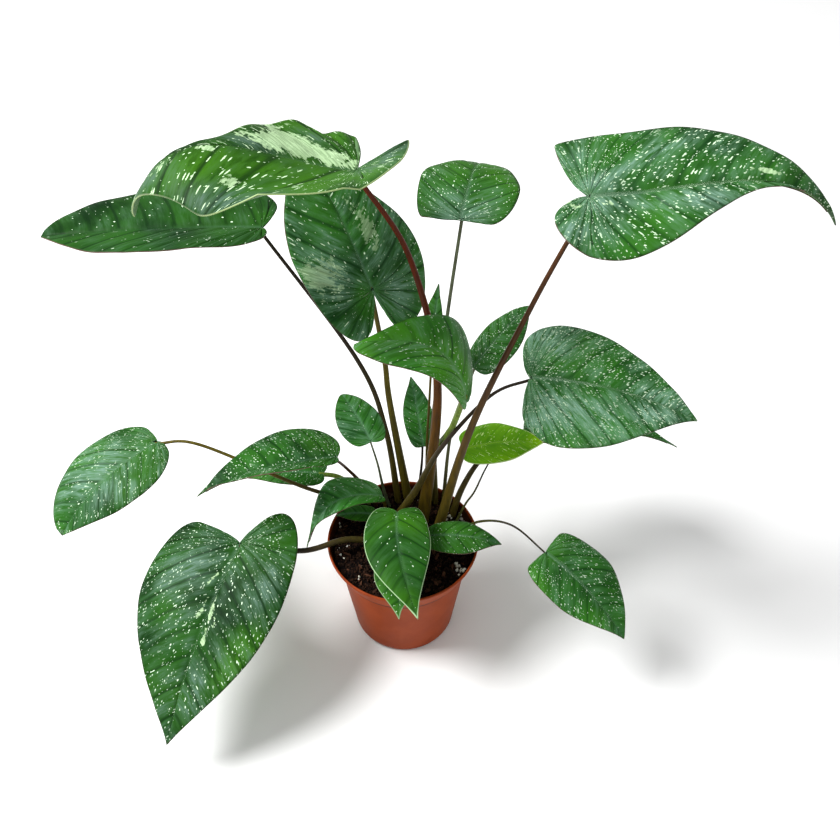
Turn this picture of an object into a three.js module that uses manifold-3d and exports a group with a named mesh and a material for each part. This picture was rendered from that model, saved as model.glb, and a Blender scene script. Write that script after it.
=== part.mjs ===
// Potted stardust homalomena: heart-shaped leaves on long stalks in a 12 cm nursery pot.
// Millimetres, +Z up. The origin is the centre of the pot's base, and -Y is the front.
import * as THREE from 'three';
import { mergeVertices } from 'three/addons/utils/BufferGeometryUtils.js';
import Module from 'manifold-3d';

const wasm = await Module();
wasm.setup();

// Driving dimensions
const POT_HEIGHT = 100;
const RIM_RADIUS = 60;
const POT_WALL = 1.2;
const POT_SEGMENTS = 36;
const FOOT_OUTER = 40;
const FOOT_INNER = 36;
const FOOT_HEIGHT = 2.5;
const FLOOR_TOP = 4;
const CENTRE_RADIUS = 13;
const CENTRE_THICKNESS = 1.4;
const FOOT_NOTCH_DEGREES = 27;
const FOOT_NOTCH_CENTRES = [243, 3, 123];
const DRAIN_RADIUS = 4;
const DRAIN_CIRCLE = 24;
const DRAIN_HOLES = 6;
const SOIL_TOP = 92;
const SOIL_LUMP = 1.4;
const STALK_FOOT_Z = 84;
const GAP = 0.3;
const BLADE_THICKNESS = 0.8;
const STALK_SIDES = 6;
const STALK_STEPS = 8;
const LOBE_END = 0.16;
const SHOULDER_END = 0.42;
const VEIN_SLANT = 0.85;
const VEIN_BOW = 0.06;
const LOBE_LEVEL = 0.34;
const WAVE_GROWTH = 1.4;

const COLOURS = {
  darkLeaf: { color: 0x2f6a33, roughness: 0.38, metalness: 0 },
  limeLeaf: { color: 0x7fae1c, roughness: 0.4, metalness: 0 },
  stalk: { color: 0x4f3d22, roughness: 0.5, metalness: 0 },
  greenStalk: { color: 0x86993a, roughness: 0.5, metalness: 0 },
  pot: { color: 0xa8523a, roughness: 0.55, metalness: 0 },
  soil: { color: 0x231812, roughness: 0.95, metalness: 0 },
};

// One entry for each leaf. base is where the stalk meets the blade, and tip is the blade's point.
// Pairs are the left and right half, seen from above and looking towards the tip.
// half: half widths; lobe: how far the lobes reach back; rear: where a lobe is deepest, as a share
// of the half width; broad: where the half is widest, as a share of the length; point: how sharply
// it narrows to the tip; fold and curl: degrees that a half rises and bends; roll: degrees that the
// right half is raised; arch and sway: midrib offsets at a third and two thirds of its length;
// wave: amplitude, number and phase of the margin's waves; stalk: a point in the soil and two on
// the way up; radii: the stalk at its foot and at the blade; rows: steps along the margin.
const LEAVES = [
  {
    name: 'leaf_a', base: [-22, 10, 427], tip: [-152, 0, 402], half: [56, 45], lobe: [35, 0],
    rear: [0.12, 0.8], pitch: [36, 0], broad: [0.38, 0.22], point: [0.9, 7], fold: [18, 6],
    curl: [-10, -20], arch: [10, 74], wave: [[30, 0.88, 0.16], [2, 6.6, 0.35]],
    stalk: [[15, 24], [26, 24, 241], [8, 24, 352]], radii: [5.5, 1.5], rows: [3, 5, 12],
  },
  {
    name: 'leaf_b', base: [-91, 64, 350], tip: [-241, 68, 340], half: [34, 52], lobe: [4, 7],
    rear: [0.2, 0.45], broad: [0.55, 0.35], point: [0.8, 0.55], fold: [20, 8], curl: [-20, -20],
    arch: [4, 2], stalk: [[-4, 46], [-13, 46, 176], [-32, 52, 243]], radii: [3, 1.2],
    rows: [2, 4, 8],
  },
  {
    name: 'leaf_c', base: [-18, 34, 322], tip: [-68, 88, 402], half: [44, 50], lobe: [27, 35],
    rear: [0.45, 0.22], fold: [6, 4], curl: [-20, -20], broad: [0.35, 0.1], point: [1, 1.8], arch: [8, 12],
    stalk: [[5, 45], [-9, 47, 202], [-12, 44, 251]], radii: [4, 1.6], rows: [3, 5, 8],
  },
  {
    name: 'leaf_d', base: [39, 29, 380], tip: [54, 104, 373], half: [32, 32], lobe: [1, 1],
    rear: [0.75, 0.5], fold: [4, 2], curl: [-10, -20], point: [0.9, 0.7], broad: [0.4, 0.4],
    arch: [12, 16], stalk: [[26.5, 42], [25, 49, 130], [23, 51, 172], [32, 42, 291]], radii: [2.6, 1.1],
    rows: [2, 3, 5],
  },
  {
    name: 'leaf_e', base: [110, 1, 415], tip: [262, 12, 388], roll: -12, half: [49, 42],
    lobe: [16, 22], rear: [0.8, 0.45], fold: [14, 0], point: [1.35, 4.4], broad: [0.2, 0.08],
    arch: [6, 56], stalk: [[27, 17], [49, 0, 224], [83, -6, 342]], radii: [4.5, 1.4],
    rows: [3, 5, 9],
  },
  {
    name: 'leaf_f', base: [89, 10, 265], tip: [205, -7, 240], roll: -12, half: [50, 51],
    lobe: [8, 2], rear: [0.5, 0.5], point: [1.1, 1.2], broad: [0.15, 0.22], arch: [14, 14],
    stalk: [[-8, 30], [10, 15, 140], [29, 5, 200], [63, 12, 246]], radii: [3.8, 1.1], rows: [3, 5, 8],
  },
  {
    name: 'leaf_g', base: [53, 56, 232], tip: [97, 106, 250], half: [14, 19], lobe: [0, 1],
    rear: [0.2, 0.45], point: [0.9, 0.9], broad: [0.45, 0.35], arch: [4, 4],
    stalk: [[32, 38], [37, 52, 158], [46, 56, 199]], radii: [1.8, 1], rows: [2, 3, 5],
  },
  {
    name: 'leaf_h', base: [43, -29, 280], tip: [-28, -16, 318], half: [24, 42], lobe: [0, 8],
    rear: [0.2, 0.6], fold: [10, 8], point: [0.5, 1.25], broad: [0.6, 0.2], arch: [42, 32],
    stalk: [[18, 40], [25, 40, 153], [34, 20, 199], [37, 8, 220]], radii: [2.6, 2.2],
    stalkColour: 'greenStalk', rows: [2, 4, 7],
  },
  {
    name: 'leaf_i', base: [22, 50, 255], tip: [27, 82, 290], half: [9, 6], lobe: [3, 3],
    point: [1.2, 1.2], broad: [0.3, 0.3], arch: [2, 2],
    stalk: [[19, 46.5], [19, 51, 150], [20.5, 51, 200]], radii: [1.4, 0.9], rows: [2, 2, 4],
  },
  {
    name: 'leaf_j', base: [-22, 7, 205], tip: [-45, 46, 214], half: [17, 16], lobe: [1, 3],
    point: [0.75, 0.75], broad: [0.35, 0.35], arch: [4, 4],
    stalk: [[-10, 38], [-16, 40, 112], [-19, 26, 158]], radii: [1.5, 0.7], rows: [2, 3, 5],
  },
  {
    name: 'leaf_k', base: [16, 54, 149], tip: [6, 101, 181], half: [12, 12], lobe: [0, 0],
    point: [1.1, 1.1], broad: [0.4, 0.4], arch: [4, 4],
    stalk: [[11, 49.5], [13, 51, 105], [15, 54, 130]], radii: [1.6, 0.9], rows: [2, 3, 5],
  },
  {
    name: 'leaf_l', base: [-50, 23, 170], tip: [-156, 1, 150], half: [15, 36], lobe: [1, 4],
    rear: [0.2, 0.28], fold: [38, 10], point: [1.6, 1.5], broad: [0.35, 0.3], arch: [10, 16],
    stalk: [[-19, 38], [-32, 45, 110], [-46, 43, 136]], radii: [1.8, 1.1], rows: [2, 4, 7],
  },
  {
    name: 'leaf_m', base: [-67, 54, 116], tip: [-134, 52, 112], half: [14, 20], lobe: [2, 4],
    point: [1.1, 1.1], arch: [6, 6], stalk: [[-24, 42], [-38, 46, 106], [-54, 54, 112]],
    radii: [2.2, 1.9], stalkColour: 'greenStalk', rows: [2, 3, 5],
  },
  {
    name: 'leaf_n', base: [-191, 44, 165], tip: [-258, -21, 130], half: [34, 38], lobe: [2, 2],
    rear: [0.2, 0.45], point: [0.9, 0.5], broad: [0.35, 0.5], arch: [16, 16],
    stalk: [[-26, 32], [-52, 32, 110], [-84, 30, 130], [-158, 40, 166]], radii: [2, 1.2], rows: [2, 4, 7],
  },
  {
    name: 'leaf_o', base: [-124, -22, 122], tip: [-173, -145, 40], half: [51, 61],
    lobe: [34, 6], rear: [0.45, 0.6], point: [1.05, 1.25], broad: [0.24, 0.28], arch: [18, 18],
    stalk: [[-6, 4], [-42, -6, 106], [-77, -20, 110]], radii: [3, 1.9], rows: [3, 5, 9],
  },
  {
    name: 'leaf_p', base: [110, -25, 114], tip: [169, -75, 72], half: [34, 28], lobe: [2, 2],
    rear: [0.6, 0.7], point: [1, 1.1], broad: [0.4, 0.3], arch: [10, 10],
    stalk: [[40, 14], [60, 10, 108], [85, -4, 121]], radii: [1.3, 0.7], rows: [2, 4, 6],
  },
  {
    name: 'leaf_q', base: [49, 59, 140], tip: [114, 68, 138], half: [26, 21], lobe: [2, 2],
    fold: [4, 10], point: [0.9, 0.9], broad: [0.35, 0.35], arch: [6, 6], colour: 'limeLeaf',
    stalk: [[34, 33], [38, 41, 115], [44, 54, 130]], radii: [2, 1.5], stalkColour: 'greenStalk',
    rows: [2, 4, 6],
  },
  {
    name: 'leaf_r', base: [100, 88, 134], tip: [227, 75, 125], half: [34, 14], lobe: [0, 1],
    rear: [0.1, 0.4], fold: [6, 0], point: [2.2, 2.2], broad: [0.45, 0.2], arch: [4, 22],
    stalk: [[38, 28], [48, 40, 115], [67, 62, 130]], radii: [3.2, 1.6], rows: [2, 4, 8],
  },
  {
    name: 'leaf_s', base: [-4, -2, 134], tip: [12, -85, 114], half: [25, 25], lobe: [6, 5],
    rear: [0.5, 0.5], point: [1.25, 1.25], broad: [0.3, 0.3], arch: [12, 12], sway: [8, 6],
    stalk: [[2, 12], [0, 12, 100], [-2, 7, 120]], radii: [1.9, 1.2], rows: [2, 4, 6],
  },
  {
    name: 'leaf_t', base: [23, -7, 112], tip: [77, -14, 110], half: [15, 17], lobe: [4, 4],
    point: [1.1, 1.1], broad: [0.38, 0.38], arch: [6, 6],
    stalk: [[12, 8], [15, 6, 96], [19, 0, 106]], radii: [1.6, 1.1], rows: [2, 3, 5],
  },
  {
    name: 'leaf_u', base: [-17, 29, 117], tip: [-78, 2, 84], half: [12, 23], lobe: [0, 1],
    fold: [20, 8], point: [3, 3], broad: [0.35, 0.35], arch: [46, 28],
    stalk: [[-16, 29], [-16, 30, 95], [-15, 30, 106]], radii: [1.8, 1.3], rows: [2, 3, 7],
  },
  {
    name: 'leaf_v', base: [-24, 20, 105], tip: [-54.5, 20, 103], half: [8, 9], lobe: [2, 2],
    point: [1.2, 1.2], broad: [0.35, 0.35], arch: [3, 3],
    stalk: [[-22, 16], [-22, 16, 92], [-22, 18, 99]], radii: [1.2, 0.8], rows: [2, 2, 4],
  },
  {
    name: 'leaf_w', base: [-1, -12, 106], tip: [-2, -74, 97], half: [19, 20], lobe: [5, 5],
    point: [1.9, 1.2], broad: [0.45, 0.45], arch: [8, 10],
    stalk: [[4, 0], [3, -2, 94], [1, -8, 101]], radii: [1.6, 1.2], rows: [2, 3, 6],
  },
  {
    name: 'leaf_x', base: [76, 75, 121], tip: [97, 85, 123], half: [8, 8], lobe: [2, 2],
    point: [1, 1], broad: [0.3, 0.3], arch: [2, 2],
    stalk: [[40, 22], [50, 31, 103.5], [58, 40, 110], [67, 56, 119]], radii: [1.1, 0.6], rows: [2, 2, 4],
  },
];

const LEAF_DEFAULTS = {
  roll: 0, rear: [0.45, 0.45], pitch: [0, 0], broad: [0.2, 0.2], fold: [8, 8], curl: [-25, -25],
  arch: [0, 0], sway: [0, 0], wave: [[0, 3, 0], [0, 3, 0]], colour: 'darkLeaf', stalkColour: 'stalk',
};

const UP = new THREE.Vector3(0, 0, 1);
const radians = THREE.MathUtils.degToRad;

// Closed solids

function toSolid(geometry) {
  const bare = geometry.clone();
  for (const name of Object.keys(bare.attributes)) {
    if (name !== 'position') bare.deleteAttribute(name);
  }
  const merged = mergeVertices(bare, 1e-4);
  const corners = [];
  const index = merged.index.array;
  for (let i = 0; i < index.length; i += 3) {
    const [a, b, c] = [index[i], index[i + 1], index[i + 2]];
    if (a !== b && b !== c && c !== a) corners.push(a, b, c);
  }
  return new wasm.Manifold(new wasm.Mesh({
    numProp: 3,
    vertProperties: new Float32Array(merged.attributes.position.array),
    triVerts: new Uint32Array(corners),
  }));
}

function toGeometry(solid) {
  const mesh = solid.getMesh();
  const geometry = new THREE.BufferGeometry();
  geometry.setAttribute('position', new THREE.BufferAttribute(mesh.vertProperties, 3));
  geometry.setIndex(new THREE.BufferAttribute(mesh.triVerts, 1));
  geometry.computeVertexNormals();
  return geometry;
}

function largestBody(solid) {
  return solid.decompose().sort((a, b) => b.volume() - a.volume())[0];
}

// Blade: outline in the leaf's own plane, x from the stalk to the tip and y outwards

function outlinePoint(leaf, side, v) {
  const length = leaf.length;
  const width = leaf.half[side];
  const lobe = leaf.lobe[side];
  const widest = leaf.broad[side] * length;
  const rear = leaf.rear[side] * width;
  if (v < LOBE_END) {
    const a = (Math.PI / 2) * (v / LOBE_END);
    return [-lobe * Math.sin(a), rear * (0.7 * (1 - Math.cos(a)) + 0.3 * Math.sin(a))];
  }
  if (v < SHOULDER_END) {
    const a = ((Math.PI / 2) * (v - LOBE_END)) / (SHOULDER_END - LOBE_END);
    return [widest - (widest + lobe) * Math.cos(a), rear + (width - rear) * Math.sin(a)];
  }
  const s = (v - SHOULDER_END) / (1 - SHOULDER_END);
  const narrowed = Math.max(0, Math.cos((Math.PI / 2) * s)) ** leaf.point[side];
  return [widest + (length - widest) * s, width * narrowed];
}

// Where the pair of lateral veins that end at v leave the midrib
function veinStart(leaf, v) {
  const [left, right] = [0, 1].map((side) => outlinePoint(leaf, side, v));
  const start = (left[0] + right[0] - VEIN_SLANT * (left[1] + right[1])) / 2;
  return THREE.MathUtils.clamp(start, 0, leaf.length);
}

// A lateral vein runs from the midrib to the outline at v, and u is the share of the way along it.
// The halves lift and wave fully from LOBE_LEVEL on, and less and less towards the lobes' ends.
function bladePoint(leaf, side, u, v) {
  const [xe, ye] = outlinePoint(leaf, side, v);
  const xm = veinStart(leaf, v);
  const bow = xe > 0 ? VEIN_BOW * ye * Math.sin(Math.PI * u) : 0;
  const x = xm + (xe - xm) * u - bow;
  const y = ye * u;
  const s = THREE.MathUtils.clamp(x / leaf.length, 0, 1);
  const along = leaf.midrib.getTangent(s);
  const across = leaf.across.clone().addScaledVector(along, -along.dot(leaf.across)).normalize();
  const out = new THREE.Vector3().crossVectors(across, along);
  const pitch = radians(leaf.pitch[side]);
  const back = Math.min(x, 0);
  const level = Math.min(1, v / LOBE_LEVEL) ** 3;
  const lift = level * radians(leaf.fold[side] + (leaf.curl[side] * y) / (2 * leaf.half[side]));
  const [amplitude, count, phase] = leaf.wave[side];
  const growth = (level * u ** WAVE_GROWTH * ye) / leaf.half[side];
  const wave = amplitude * Math.sin(2 * Math.PI * (count * v + phase)) * growth;
  return leaf.midrib.getPoint(s)
    .addScaledVector(along, back * Math.cos(pitch))
    .addScaledVector(out, -back * Math.sin(pitch))
    .addScaledVector(across, (side === 1 ? 1 : -1) * y * Math.cos(lift))
    .addScaledVector(out, y * Math.sin(lift) + wave);
}

function prepareLeaf(entry) {
  const leaf = { ...LEAF_DEFAULTS, ...entry };
  const base = new THREE.Vector3(...leaf.base);
  const tip = new THREE.Vector3(...leaf.tip);
  const chord = tip.clone().sub(base);
  leaf.length = chord.length();
  const along = chord.clone().normalize();
  const out = UP.clone().addScaledVector(along, -along.dot(UP)).normalize();
  const across = new THREE.Vector3().crossVectors(along, out);
  const roll = radians(leaf.roll);
  leaf.out = out.clone().multiplyScalar(Math.cos(roll)).addScaledVector(across, -Math.sin(roll));
  leaf.across = across.clone().multiplyScalar(Math.cos(roll)).addScaledVector(out, Math.sin(roll));
  const handle = (k) => base.clone().addScaledVector(chord, (k + 1) / 3)
    .addScaledVector(leaf.out, leaf.arch[k]).addScaledVector(leaf.across, leaf.sway[k]);
  leaf.midrib = new THREE.CubicBezierCurve3(base, handle(0), handle(1), tip);
  return leaf;
}

// The blade's middle surface, as merged points and triangles that face up
function bladeSheet(leaf) {
  const [lobeRows, shoulderRows, tipRows] = leaf.rows;
  const stations = [];
  for (let i = 0; i < lobeRows; i++) stations.push((LOBE_END * i) / lobeRows);
  for (let i = 0; i < shoulderRows; i++) {
    stations.push(LOBE_END + ((SHOULDER_END - LOBE_END) * i) / shoulderRows);
  }
  for (let i = 0; i <= tipRows; i++) stations.push(SHOULDER_END + ((1 - SHOULDER_END) * i) / tipRows);
  const columns = leaf.length > 90 ? 4 : 3;
  const points = [];
  const triangles = [];
  for (const side of [0, 1]) {
    const start = points.length / 3;
    for (const v of stations) {
      for (let j = 0; j <= columns; j++) points.push(...bladePoint(leaf, side, j / columns, v));
    }
    for (let i = 0; i + 1 < stations.length; i++) {
      for (let j = 0; j < columns; j++) {
        const a = start + i * (columns + 1) + j;
        const b = a + columns + 1;
        const quad = [a, a + 1, b + 1, a, b + 1, b];
        triangles.push(...(side === 1 ? quad : quad.toReversed()));
      }
    }
  }
  const geometry = new THREE.BufferGeometry();
  geometry.setAttribute('position', new THREE.Float32BufferAttribute(points, 3));
  geometry.setIndex(triangles);
  const merged = mergeVertices(geometry, 1e-3);
  const kept = [];
  for (let i = 0; i < merged.index.count; i += 3) {
    const [a, b, c] = [0, 1, 2].map((k) => merged.index.getX(i + k));
    if (a !== b && b !== c && c !== a) kept.push(a, b, c);
  }
  merged.setIndex(kept);
  merged.computeVertexNormals();
  return merged;
}

// Both faces of the sheet, moved apart by the thickness, and a strip along the margin.
// grow is added on every side, the margin too.
function bladeSolid(leaf, grow) {
  const sheet = bladeSheet(leaf);
  const index = Array.from(sheet.index.array);
  const count = sheet.attributes.position.count;
  const vectors = (attribute) => Array.from({ length: count }, (_, i) => (
    new THREE.Vector3().fromBufferAttribute(attribute, i)));
  const place = vectors(sheet.attributes.position);
  const normal = vectors(sheet.attributes.normal);
  const triangles = [];
  const edges = new Map();
  for (let i = 0; i < index.length; i += 3) {
    const [a, b, c] = index.slice(i, i + 3);
    triangles.push(a, b, c, c + count, b + count, a + count);
    for (const [p, q] of [[a, b], [b, c], [c, a]]) {
      if (!edges.delete(`${q} ${p}`)) edges.set(`${p} ${q}`, [p, q]);
    }
  }
  const outward = place.map(() => new THREE.Vector3());
  for (const [p, q] of edges.values()) {
    triangles.push(q, p, p + count, q, p + count, q + count);
    const edge = place[q].clone().sub(place[p]);
    outward[p].add(edge.clone().cross(normal[p]));
    outward[q].add(edge.clone().cross(normal[q]));
  }
  const half = BLADE_THICKNESS / 2 + grow;
  const points = [];
  for (const face of [half, -half]) {
    place.forEach((point, i) => {
      const moved = point.clone().addScaledVector(normal[i], face);
      points.push(...moved.addScaledVector(outward[i].clone().normalize(), grow));
    });
  }
  const geometry = new THREE.BufferGeometry();
  geometry.setAttribute('position', new THREE.Float32BufferAttribute(points, 3));
  geometry.setIndex(triangles);
  return toSolid(geometry);
}

// Stalk: a tapered tube through its points, wider where it sheathes at the foot

function stalkCurve(leaf) {
  const [foot, ...way] = leaf.stalk;
  const seat = leaf.midrib.getPoint((leaf.radii[1] + 1) / leaf.length).addScaledVector(leaf.out, -1);
  const points = [[...foot, STALK_FOOT_Z], ...way].map((p) => new THREE.Vector3(...p));
  return new THREE.CatmullRomCurve3([...points, seat], false, 'catmullrom', 0.5);
}

// grow widens the tube and lowers its foot
function stalkSolid(leaf, grow) {
  const curve = stalkCurve(leaf);
  const frames = curve.computeFrenetFrames(STALK_STEPS, false);
  const points = [];
  const triangles = [];
  const [footRadius, topRadius] = leaf.radii;
  for (let i = 0; i <= STALK_STEPS; i++) {
    const t = i / STALK_STEPS;
    const radius = topRadius + (footRadius - topRadius) * (1 - t) ** 1.6 + grow * 1.2;
    const centre = curve.getPointAt(t).addScaledVector(frames.tangents[i], i === 0 ? -grow : 0);
    for (let j = 0; j < STALK_SIDES; j++) {
      const a = (2 * Math.PI * j) / STALK_SIDES;
      const point = centre.clone().addScaledVector(frames.normals[i], radius * Math.cos(a))
        .addScaledVector(frames.binormals[i], radius * Math.sin(a));
      points.push(...point);
    }
  }
  for (let i = 0; i < STALK_STEPS; i++) {
    for (let j = 0; j < STALK_SIDES; j++) {
      const a = i * STALK_SIDES + j;
      const b = i * STALK_SIDES + ((j + 1) % STALK_SIDES);
      triangles.push(a, b, b + STALK_SIDES, a, b + STALK_SIDES, a + STALK_SIDES);
    }
  }
  const last = STALK_STEPS * STALK_SIDES;
  for (let j = 1; j + 1 < STALK_SIDES; j++) {
    triangles.push(0, j + 1, j, last, last + j, last + j + 1);
  }
  const geometry = new THREE.BufferGeometry();
  geometry.setAttribute('position', new THREE.Float32BufferAttribute(points, 3));
  geometry.setIndex(triangles);
  return toSolid(geometry);
}

// Pot: a thin flared wall, a rim, a foot ring and a flat centre that stand on the surface,
// and a raised floor between them, with notches in the ring and drain holes in the floor

function potSolid() {
  const outer = [
    [FOOT_OUTER - 1.5, 0], [FOOT_OUTER, 0.5], [41.6, 4], [43, 15], [51, 76], [52.8, 81],
    [56.8, 90], [59.2, 96], [RIM_RADIUS, 98.6], [RIM_RADIUS - 0.5, POT_HEIGHT],
  ];
  const inner = [
    [RIM_RADIUS - POT_WALL - 0.4, POT_HEIGHT], [58, 96], [55.6, 90], [51.5, 81], [49.7, 76],
    [41.8, 15], [40.2, FLOOR_TOP + 0.6], [FOOT_OUTER - 0.6, FLOOR_TOP],
  ];
  const profile = [
    [0, 0], [CENTRE_RADIUS, 0], [CENTRE_RADIUS + 1.5, FOOT_HEIGHT], [FOOT_INNER, FOOT_HEIGHT],
    [FOOT_INNER, 0], ...outer, ...inner, [CENTRE_RADIUS + 1.2, FLOOR_TOP],
    [CENTRE_RADIUS - 0.4, CENTRE_THICKNESS], [0, CENTRE_THICKNESS],
  ].map((p) => new THREE.Vector2(...p));
  let pot = toSolid(new THREE.LatheGeometry(profile, POT_SEGMENTS).rotateX(Math.PI / 2));
  for (const centre of FOOT_NOTCH_CENTRES) {
    const width = 2 * FOOT_OUTER * Math.sin(radians(FOOT_NOTCH_DEGREES / 2));
    const notch = new THREE.BoxGeometry(FOOT_OUTER, width, 2 * FOOT_HEIGHT - 0.4)
      .translate(FOOT_OUTER, 0, 0).rotateZ(radians(centre));
    pot = pot.subtract(toSolid(notch));
  }
  for (let i = 0; i < DRAIN_HOLES; i++) {
    const angle = (2 * Math.PI * i) / DRAIN_HOLES;
    const drill = new THREE.CylinderGeometry(DRAIN_RADIUS, DRAIN_RADIUS, 20, 12)
      .rotateX(Math.PI / 2).translate(DRAIN_CIRCLE * Math.cos(angle), DRAIN_CIRCLE * Math.sin(angle), 0);
    pot = pot.subtract(toSolid(drill));
  }
  return pot;
}

// Soil: fills the pot from its floor, with a lumpy top

function lumpHeight(x, y) {
  return SOIL_LUMP * (Math.sin(x / 5.1 + 1.3) * Math.cos(y / 4.3) + 0.5 * Math.sin((x - 2 * y) / 6.7));
}

function soilSolid() {
  const side = [[41.4, 15], [49.3, 76], [51.1, 81], [55.1, 90], [55.7, SOIL_TOP - 1]];
  const rings = [46, 32, 17];
  const floor = [
    [0, CENTRE_THICKNESS], [CENTRE_RADIUS - 0.8, CENTRE_THICKNESS], [CENTRE_RADIUS + 0.8, FLOOR_TOP],
    [FOOT_OUTER - 1.2, FLOOR_TOP],
  ];
  const profile = [...floor, ...side, ...rings.map((r) => [r, SOIL_TOP]), [0, SOIL_TOP]];
  const geometry = new THREE.LatheGeometry(profile.map((p) => new THREE.Vector2(...p)), POT_SEGMENTS)
    .rotateX(Math.PI / 2);
  const place = geometry.attributes.position;
  for (let i = 0; i < place.count; i++) {
    if (place.getZ(i) < SOIL_TOP - 0.01) continue;
    place.setZ(i, SOIL_TOP + lumpHeight(place.getX(i), place.getY(i)));
  }
  return toSolid(geometry);
}

// Scene graph

const plant = new THREE.Group();

function addMesh(name, solid, look) {
  const mesh = new THREE.Mesh(toGeometry(solid), new THREE.MeshStandardMaterial(COLOURS[look]));
  mesh.name = name;
  plant.add(mesh);
}

const leaves = LEAVES.map(prepareLeaf);
let soil = soilSolid();
for (const leaf of leaves) {
  const clearance = bladeSolid(leaf, GAP);
  const stalk = largestBody(stalkSolid(leaf, 0).subtract(clearance));
  soil = soil.subtract(stalkSolid(leaf, GAP));
  addMesh(`${leaf.name}_blade`, bladeSolid(leaf, 0), leaf.colour);
  addMesh(`${leaf.name}_stalk`, stalk, leaf.stalkColour);
}
addMesh('pot', potSolid(), 'pot');
addMesh('soil', largestBody(soil), 'soil');

export default plant;
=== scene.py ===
"""Looks for a potted stardust homalomena: speckled heart-shaped leaves on long stalks in a nursery pot.

Leaf, pot and soil values are millimetres, as in the CAD source, and MM turns them into metres.
"""
import math

import bmesh
import bpy
import numpy as np
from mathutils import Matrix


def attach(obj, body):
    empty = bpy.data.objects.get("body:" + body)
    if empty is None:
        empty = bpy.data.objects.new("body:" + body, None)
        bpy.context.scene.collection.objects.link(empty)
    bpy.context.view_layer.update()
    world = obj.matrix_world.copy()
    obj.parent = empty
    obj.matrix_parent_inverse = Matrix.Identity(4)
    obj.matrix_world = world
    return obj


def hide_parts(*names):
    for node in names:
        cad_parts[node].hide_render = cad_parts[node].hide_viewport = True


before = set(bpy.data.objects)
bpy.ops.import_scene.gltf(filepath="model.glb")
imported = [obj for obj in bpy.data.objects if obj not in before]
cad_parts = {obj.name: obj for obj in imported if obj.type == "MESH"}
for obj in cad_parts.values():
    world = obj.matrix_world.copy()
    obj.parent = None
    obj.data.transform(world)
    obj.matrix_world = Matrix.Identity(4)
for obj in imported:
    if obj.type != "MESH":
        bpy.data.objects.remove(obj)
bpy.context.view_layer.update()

MM = 0.001
UP = np.array([0.0, 0.0, 1.0])

# Camera and light
CAMERA_PLACE = (0.0135, -0.4889, 0.7332)
CAMERA_PITCH = math.radians(44.4)
LENS = 42.857
SENSOR = 36.0
KEY_DIRECTION = np.array([-0.59, 0.0, 0.807])
KEY_DISTANCE = 2.4
KEY_SIZE = 1.1
KEY_WATTS = 86.0
KEY_AIM_HEIGHT = 0.15
WORLD_STRENGTH = 0.59
FLOOR_SIZE = 12

# Blade
BLADE_THICKNESS = 0.8
LOBE_END = 0.16
SHOULDER_END = 0.42
LOBE_ROUND = 0.7
LOBE_RISE = 0.3
VEIN_SLANT = 0.85
VEIN_BOW = 0.06
LOBE_LEVEL = 0.34
WAVE_GROWTH = 1.4
FULL_RELIEF_LENGTH = 110
QUILT = 0.8
QUILT_FULLNESS = 0.6
QUILT_START = 0.12
QUILT_END = 0.15
GROOVE = 0.4
GROOVE_WIDTH = 1.6
SWELL = 0.5
SWELL_LENGTH = 7.3
SWELL_WIDTH = 5.9
RIPPLE = 0.6
RIPPLE_COUNT = 5
RIPPLE_FADE = 0.12
VEIN_START = 0.1
RIB_LINE_WIDTH = 1.1
LARGE_BLADE = 100
LARGE_ROWS = (26, 30, 74)
LARGE_HALF_COLUMNS = 22
SMALL_ROWS = (16, 20, 44)
SMALL_HALF_COLUMNS = 14
# Added to the vein numbers, so that halves and leaves get different patterns
HALF_STEP = 40
LEAF_STEP = 7.3

# Stalk
STALK_FOOT_Z = 84
STALK_SIDES = 14
STALK_STEPS = 70
STALK_TAPER = 1.6
SEAT_MARGIN = 1
RIB_START = 0.004
RIB_END = 0.93
RIB_STEPS = 50
RIB_LEAST = 0.25
RIB_SHARE = 0.75
RIB_TAPER = 1.5
RIB_DROP = 0.9
TINT_RATE = 1.6
TINT_CURVE = 0.9

# Pot and soil
POT_HEIGHT = 100
RIM_RADIUS = 60
FOOT_OUTER = 40
FOOT_INNER = 36
FOOT_HEIGHT = 2.5
FLOOR_TOP = 4
CENTRE_RADIUS = 13
CENTRE_THICKNESS = 1.4
FOOT_NOTCH_DEGREES = 27
FOOT_NOTCH_CENTRES = (243, 3, 123)
POT_SEGMENTS = 160
DRAIN_RADIUS = 4
DRAIN_CIRCLE = 24
DRAIN_HOLES = 6
DRAIN_SEGMENTS = 32
SHARP_ANGLE = math.radians(50)
SOIL_TOP = 92
SOIL_LUMP = 1.4
SOIL_SEGMENTS = 200
SOIL_RINGS = 75
CRUMBS = 2600
CRUMB_REACH = 54.5
BARK_BITS = 230
LOOSE_PERLITE = 70
BIT_REACH = 53
SINK = 0.25
SEED = 11

# Near-black on the pot's inner wall, metres: the wall's middle is START + FLARE x height, the
# dark fades out between its two heights, and its edge wanders by WANDER
WALL_FLARE = 0.4
WALL_START = 0.0202
INNER_SIDE_EDGE = 0.0002
DARK_FULL = 0.098
DARK_GONE = 0.1028
DARK_WANDER = 0.004

# Sampling
CURVE_SAMPLES = 400
PROFILE_STEPS = 6
MERGE_DISTANCE = 2e-6

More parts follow.
